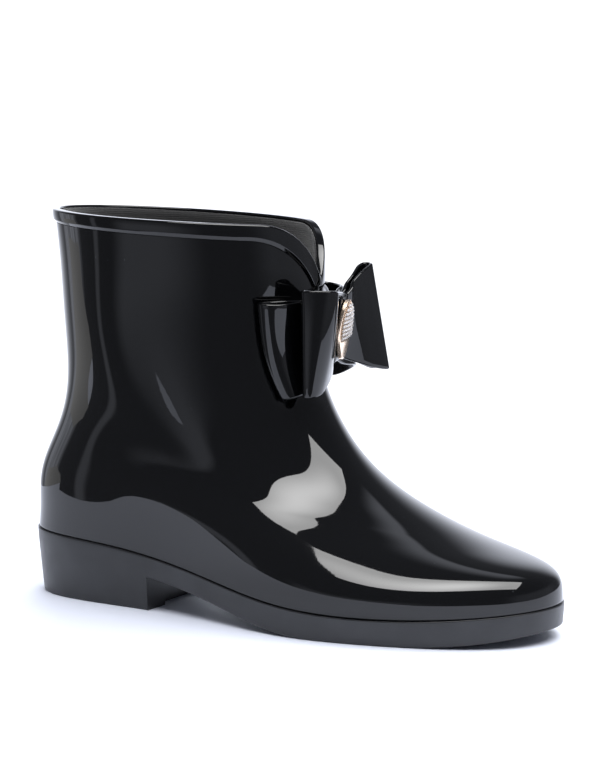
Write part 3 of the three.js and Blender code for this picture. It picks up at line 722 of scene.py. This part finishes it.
# [side, out, half height, up, flare, lean]
REAR_STRIP = [
    [0, 3.2, 14, 0, 0, 0],
    [5.5, 3.1, 14.3, -0.4, 0, 0],
    [11, 2.4, 17, -2.5, 0.5, 0],
    [19, 2.4, 21, -6, -1, 0],
    [26, 3.0, 24.5, -9.5, -2, 0],
    [30, 7.2, 25, -10, -2, -2.2],
    [28, 13.2, 25, -10, -2, -4.2],
    [21, 15.0, 22.5, -6.5, -1.5, -5.3],
    [14, 8.4, 19, -3.5, 0, -1.6],
    [5.5, 5.1, 14.3, -0.4, 0, 0],
    [0, 5.0, 14, 0, 0, 0],
    [-5.5, 5.1, 14.3, 0, 0, 0],
    [-15, 5.9, 19, -3, 0.6, 0.4],
    [-23.8, 8.4, 22, -6, 0.7, 0.6],
    [-28.9, 8.2, 23, -7, 0.9, 0.4],
    [-30.9, 4.6, 23, -7, 0.9, 0],
    [-27.6, 2.7, 22, -6, 0.8, 0],
    [-20, 2.3, 20, -4, 0.5, 0],
    [-11, 2.5, 17, -2, 1, 0],
    [-5.5, 3.1, 14.3, 0, 0, 0],
]
FRONT_STRIP = [
    [0, 7.9, 14, 0, 0, 0],
    [5.5, 8.0, 14.3, 0, 0, -0.1],
    [11, 10.2, 17, 0, 0, -1.2],
    [18, 12.8, 21, 0, 0.4, -1.9],
    [24.5, 14.4, 24, 0, 0.7, -2.9],
    [28.2, 16.0, 24.5, 0, 0.7, -3.4],
    [28.7, 18.4, 24.5, 0, 0.7, -3.5],
    [26.2, 20.6, 24.5, 0, 0.7, -3.6],
    [18, 17.2, 22, 0, 0.4, -2.4],
    [10.5, 12.4, 17.5, 0, 0, -0.6],
    [5.5, 10.0, 14.3, 0, 0, -0.1],
    [0, 9.9, 14, 0, 0, 0],
    [-5.5, 9.95, 14.3, 0, 0, 0],
    [-10.5, 11.4, 16.6, -0.4, 0, 0.6],
    [-17, 13.6, 19.8, -0.8, 1.6, 2],
    [-24.5, 14.2, 22.8, -1, 3.0, 3],
    [-29.2, 10.6, 23.6, -0.8, 3.0, 1.4],
    [-30, 5.2, 23.6, -0.8, 2.6, -0.4],
    [-26, 3.8, 23, -0.6, 2.0, -0.6],
    [-16, 5.9, 20, 0, 0.8, -0.4],
    [-5.5, 7.9, 14.3, 0, 0, 0],
]


def closed_curve(points, count):
    """Centripetal Catmull-Rom curve through points, count samples, evenly shared between them."""
    points = np.array(points, float)
    n = len(points)
    u = np.arange(count) / count * n
    i = u.astype(int) % n
    w = (u - np.floor(u))[:, None]
    p0, p1, p2, p3 = (points[(i + k) % n] for k in (-1, 0, 1, 2))
    d0, d1, d2 = (np.maximum(np.linalg.norm(b - a, axis=-1, keepdims=True) ** 0.5, 1e-3)
                  for a, b in ((p0, p1), (p1, p2), (p2, p3)))
    m1 = ((p1 - p0) / d0 - (p2 - p0) / (d0 + d1) + (p2 - p1) / d1) * d1
    m2 = ((p2 - p1) / d1 - (p3 - p1) / (d1 + d2) + (p3 - p2) / d2) * d1
    return (
        p1
        + m1 * w
        + (-3 * p1 + 3 * p2 - 2 * m1 - m2) * w**2
        + (2 * p1 - 2 * p2 + m1 + m2) * w**3
    )


def strip_shape(path, place, belly, count=320, levels=26):
    """Closed strip with rounded edges; a row's flare and lean move its upper edge in side and out."""
    path = np.array(path, float)
    plan = closed_curve(path[:, :2], count)
    rest = closed_curve(path[:, 2:], count)
    along = unit(np.roll(plan, -1, 0) - np.roll(plan, 1, 0))
    half, lift, flare, lean = rest.T
    thick = BAND / 2
    near_loop = ease((-plan[:, 0] - KNOT_HALF) / 10) * ease((1 - along[:, 0]) / 1.2)

    def ring(face, level, extra):
        off = face + belly * near_loop * (1 - level * level)
        side = plan[:, 0] + along[:, 1] * off + flare * level
        out = plan[:, 1] - along[:, 0] * off + lean * level
        return place(side, out, lift + (half - thick) * level + extra)

    rings = []
    for sense in (1, -1):
        rings += [ring(sense * thick, level, 0) for level in np.linspace(-sense, sense, levels)]
        for a in np.arange(1, 8) / 8 * math.pi:
            rings.append(ring(sense * thick * math.cos(a), sense, sense * thick * math.sin(a)))
    return loft(rings, closed=True)


rear_shape = strip_shape(REAR_STRIP, shaft_point, REAR_BELLY)
front_shape = strip_shape(FRONT_STRIP, bow_point, FRONT_BELLY)
add("bow_rear", rear_shape, BOW_PVC, "boot", ["bow_rear_strip"], 60)
add("bow_front", front_shape, BOW_PVC, "boot", ["bow_front_strip"], 60)


def wrap_shape():
    """Strap round both strips, rounded over its edges."""
    height, near, far, thick = 15.8, 1.0, 11.75, 0.72
    middle = (near + far) / 2
    corner = 1.6

    def loop(inset):
        h, o = height - inset, (far - near) / 2 - inset
        r = max(corner - inset, 0.3)
        points = []
        for quarter, (cy, cx) in enumerate([(1, 1), (1, -1), (-1, -1), (-1, 1)]):
            for k in range(7):
                a = math.pi / 2 * (quarter + k / 6)
                points.append((middle + (o - r) * cx + r * math.cos(a), (h - r) * cy + r * math.sin(a)))
        return np.array(points)

    outside = [(-4.4, 0.15), (-4.25, 0), (-2, 0.12), (0, 0.16), (2, 0.12), (4.25, 0), (4.4, 0.15)]
    inside = [(4.4, thick - 0.1), (4.3, thick), (-4.3, thick), (-4.4, thick - 0.1)]
    rings = []
    for side, inset in outside + inside:
        p = loop(inset)
        rings.append(bow_point(np.full(len(p), side), p[:, 0], p[:, 1]))
    return loft(rings, closed=True)


add("bow_wrap", wrap_shape(), BOW_PVC, "boot", ["bow_centre_wrap"], 60)

# ---- clasp ------------------------------------------------------------------------------------------
CLASP_HALF, CLASP_TOP, CLASP_BOTTOM, CLASP_BASE = 7.6, 13.4, 14.2, 12.05


def crown(side, up):
    """Height of the plate's swelling front."""
    u, w = side / CLASP_HALF, up / CLASP_TOP
    return CLASP_BASE + 1.0 + 1.9 * np.clip(1 - 0.65 * u * u - 0.35 * w * w, 0, 1)


def clasp_edge(angle, shrink):
    c, s = np.cos(angle), np.sin(angle)
    up = np.where(s > 0, CLASP_TOP - shrink, CLASP_BOTTOM - shrink) * s
    taper = np.where(s > 0, 1 - 0.12 * s * s, 1 - 0.42 * s * s)
    return (CLASP_HALF - shrink) * c * taper, up


def clasp_shape():
    """Crowned plate with a raised rim and a sunk field for the stones."""
    angle = turn_steps(144) + math.pi / 2

    def ring(shrink, out=None, lift=0.0):
        side, up = clasp_edge(angle, shrink)
        base = crown(side, up) + lift if out is None else np.full(len(side), out)
        return bow_point(side, base, up)

    def field(line, share):
        q = line - BOW_CENTRE
        side, up = q @ BOW_SIDE, q @ BOW_UP
        sunk_by = 0.3 * ease((up + 5.2) / 0.6)
        edge = np.minimum(1, np.minimum(share, 1 - share) * 14)
        return bow_point(side, crown(side, up) - sunk_by * edge, up)

    rings = [
        ring(0.7, CLASP_BASE),
        ring(0.25, CLASP_BASE + 0.05),
        ring(0, CLASP_BASE + 0.35),
        ring(0, CLASP_BASE + 0.6),
        ring(0.1, None, -0.1),
        ring(0.3, None, 0.0),
        ring(0.7, None, 0.0),
    ]
    return loft(rings, cells=48, last=field)


clasp = add("clasp", clasp_shape(), GOLD, "boot", ["clasp_plate"], 50)
slot, slot_faces = block(-1.1, 1.1, CLASP_BASE + 0.9, CLASP_BASE + 6, -11.4, -9.2)
carve(clasp, [(bow_point(*slot.T), slot_faces)], 50)


def stone(side, up, radius):
    """Round cut stone: table, eight crown facets, girdle and a short foot."""
    levels = [(0.35, -0.75), (1.0, -0.1), (1.0, 0.12), (0.58, 0.62)]
    rings = []
    for k, (scale, out) in enumerate(levels):
        a = turn_steps(8) + (math.pi / 8 if k == 3 else 0)
        s = side + np.cos(a) * radius * scale
        u = up + np.sin(a) * radius * scale
        rings.append(bow_point(s, crown(side, up) + 0.4 + out * radius, u))
    return loft(rings, cells=2)


def stone_rows():
    """Rows from the top down, each as wide as the plate inside its rim."""
    stone_radius, bead_step, row_step, first_row = 0.86, 1.75, 1.8, 10.9
    for i in range(9):
        up = first_row - i * row_step
        edge = math.sqrt(min(1, max(0.02, 1 - (up / (CLASP_TOP - 1.8)) ** 2)))
        reach = (CLASP_HALF - 0.95) * (edge * (1 - 0.12 * (up / CLASP_TOP) ** 2) if up > 0 else 0.98)
        beads = max(2, round(2 * reach / bead_step))
        sides = np.linspace(-reach, reach, 2 * beads + 1)[1::2]
        shape = join([stone(s, up, stone_radius) for s in sides])
        add(f"stones_{i + 1}", shape, CRYSTAL, "boot", [f"stone_row_{i + 1}"], 15)


stone_rows()


# ---- rivet ------------------------------------------------------------------------------------------
def turned(profile, count=64):
    """Solid of revolution round the rivet's axis from [radius, out] pairs."""
    a = turn_steps(count)
    return [rivet_point(r * np.cos(a), np.full(count, out), r * np.sin(a)) for r, out in profile]


HEAD = -(WALL + LINING + 2 * GAP + 2.2)
SHANK, BORE = 1.8, 2.1
WASHER_LOW, WASHER_HIGH = HEAD + GAP, HEAD + 1.0
rivet_profile = [(2.2, HEAD - 1.4), (3.3, HEAD - 1.3), (4.1, HEAD - 0.9), (4.4, HEAD - 0.5), (4.4, HEAD)]
rivet_profile += [(SHANK, HEAD), (SHANK, CLASP_BASE - 2 * GAP)]
add("rivet", loft(turned(rivet_profile), cells=8), STEEL, "boot", ["bow_rivet"], 35)
washer_profile = [(BORE, WASHER_LOW), (5.8, WASHER_LOW), (6, HEAD + 0.5)]
washer_profile += [(5.8, WASHER_HIGH), (BORE, WASHER_HIGH)]
washer_shape = loft(turned(washer_profile), closed=True)
add("washer", washer_shape, STEEL, "boot", ["rivet_washer"], 35)


# ---- studio, metres ---------------------------------------------------------------------------------
HOT_RADIUS = 0.44


def card(name, corners, strength, hot=None):
    """Flat lit card, seen in reflections only. It can be brighter round one point: (point, strength)."""
    mesh = bpy.data.meshes.new(name)
    mesh.from_pydata([tuple(c) for c in corners], [], [tuple(range(len(corners)))])
    material = bpy.data.materials.new(name)
    material.use_nodes = True
    material.node_tree.nodes.clear()
    n = Nodes(material.node_tree)
    glow = n.node("ShaderNodeEmission", {"Strength": strength})
    if hot:
        centre, peak = hot
        away = n.node("ShaderNodeVectorMath", {0: n.place, 1: centre}, operation="DISTANCE")
        level = n.ramp(away.outputs["Value"], 0.0, HOT_RADIUS, peak, strength, "SMOOTHSTEP")
        n.put(glow.inputs["Strength"], level)
    out = n.node("ShaderNodeOutputMaterial")
    n.put(out.inputs[0], glow.outputs[0])
    mesh.materials.append(material)
    obj = bpy.data.objects.new(name, mesh)
    bpy.context.scene.collection.objects.link(obj)
    obj.visible_camera = obj.visible_diffuse = obj.visible_shadow = False


# white table round the boot; its edge runs close to the boot on the outer side
FLOOR_EDGE = [(-0.42, -0.155), (-0.34, -0.12), (-0.25, -0.135), (-0.13, -0.145), (-0.1, -0.4), (0.03, -0.4)]
FLOOR_EDGE += [(0.07, -0.28), (0.11, -0.15), (0.16, -0.165), (0.22, -0.2), (0.28, -0.215), (0.62, -0.2)]
FLOOR_EDGE += [(0.62, 0.5), (-0.3, 0.5), (-0.42, 0.04)]


def table():
    """Floor that the boot stands on."""
    mesh = bpy.data.meshes.new("table")
    mesh.from_pydata([(x, y, 0) for x, y in FLOOR_EDGE], [], [tuple(range(len(FLOOR_EDGE)))])
    n = Surface("table")
    n.set(base_color=(0.82, 0.86, 0.98, 1), roughness=0.6)
    mesh.materials.append(n.material)
    obj = bpy.data.objects.new("table", mesh)
    bpy.context.scene.collection.objects.link(obj)


def studio_light(n):
    """Brightness by direction: dark room, white backdrop behind, window past the heel, pale far wall."""
    axis = n.node("ShaderNodeSeparateXYZ", {0: n.direction}).outputs
    degrees = 180 / math.pi
    height = n.math("MULTIPLY", n.math("ARCSINE", axis["Z"]), degrees)
    minus_x, minus_y = (n.math("MULTIPLY", axis[k], -1.0) for k in ("X", "Y"))
    behind = n.math("MULTIPLY", n.math("ARCTAN2", axis["X"], axis["Y"]), degrees)
    past_heel = n.math("MULTIPLY", n.math("ARCTAN2", minus_y, minus_x), degrees)

    def patch(strength, angle, across, up):
        both = n.math("MULTIPLY", n.window(angle, *across), n.window(height, *up))
        return n.math("MULTIPLY", both, strength)

    along, across = n.math("MULTIPLY", height, 0.03), n.math("MULTIPLY", past_heel, 0.35)
    streak = n.node("ShaderNodeCombineXYZ", {0: across, 1: along}).outputs[0]
    glass = n.ramp(n.noise(1.0, 3.0, 0.6, streak), 0.35, 0.65, 0.3, 1.1)
    total = 0.17
    for part in (
        patch(1.7, behind, (-80, -35, -8, 18), (-60, -50, 14, 42)),
        patch(0.9, behind, (-80, -35, 0, 30), (56, 60, 62, 76)),
        patch(0.22, behind, (25, 60, 100, 125), (-22, -5, 12, 24)),
        patch(glass, past_heel, (-17, -11, 11, 17), (-36, -26, 3, 8)),
        patch(0.42, past_heel, (34, 37, 39, 42), (-36, -26, 3, 8)),
        patch(0.42, past_heel, (54, 68, 85, 118), (-32, -10, -5, 8)),
    ):
        total = n.math("ADD", part, total)
    return total


def room():
    """Surroundings: studio_light for light and reflections, plain white behind the table's edge."""
    world = bpy.data.worlds.new("studio")
    bpy.context.scene.world = world
    world.use_nodes = True
    world.node_tree.nodes.clear()
    n = Nodes(world.node_tree)
    lit = n.node("ShaderNodeBackground", {"Color": (0.94, 0.98, 1.1, 1), "Strength": studio_light(n)})
    white = n.node("ShaderNodeBackground", {"Color": (1, 1, 1, 1), "Strength": 1.3})
    mix = n.node("ShaderNodeMixShader", {0: n.node("ShaderNodeLightPath").outputs["Is Camera Ray"]})
    n.put(mix.inputs[1], lit.outputs[0])
    n.put(mix.inputs[2], white.outputs[0])
    n.put(n.node("ShaderNodeOutputWorld").inputs[0], mix.outputs[0])


def overhead(place, size, power):
    """Large soft light aimed at the boot, kept out of the reflections."""
    data = bpy.data.lights.new("overhead", "AREA")
    data.shape = "RECTANGLE"
    data.size = data.size_y = size
    data.energy = power
    obj = bpy.data.objects.new("overhead", data)
    obj.location = place
    obj.rotation_euler = (Vector((0, 0, 0.05)) - Vector(place)).to_track_quat("-Z", "Y").to_euler()
    bpy.context.scene.collection.objects.link(obj)
    obj.visible_camera = obj.visible_glossy = False


table()
room()
overhead((0.3, 0.0, 1.5), 2.2, 60)
# fill from behind, for the floor under the arch
overhead((-0.25, 1.1, 0.5), 1.0, 9)
# softbox above the outer side, seen in the instep and along the forefoot
SOFTBOX = [(-0.13, -0.135, 1.373), (-0.074, -0.554, 0.83), (0.621, -0.102, 0.552), (0.565, 0.318, 1.095)]
card("softbox", SOFTBOX, 7.2, ((0.157, -0.229, 0.938), 13.5))
# the white table runs on past the heel
TABLE_LEFT = [(-0.42, -0.16, 0), (-0.42, 0.04, 0), (-1.5, 0.12, 0), (-1.5, -0.33, 0), (-0.6, -0.22, 0)]
card("table_left", TABLE_LEFT, 0.8)

# ---- camera -----------------------------------------------------------------------------------------
camera = bpy.data.objects.new("camera", bpy.data.cameras.new("camera"))
bpy.context.scene.collection.objects.link(camera)
camera.location = (0.57888, -0.9946, 0.253)
camera.rotation_euler = (math.radians(82.7), 0, math.radians(30))
camera.data.lens = 122.02
camera.data.sensor_width = 36
bpy.context.scene.camera = camera
bpy.context.scene.view_settings.view_transform = "Standard"
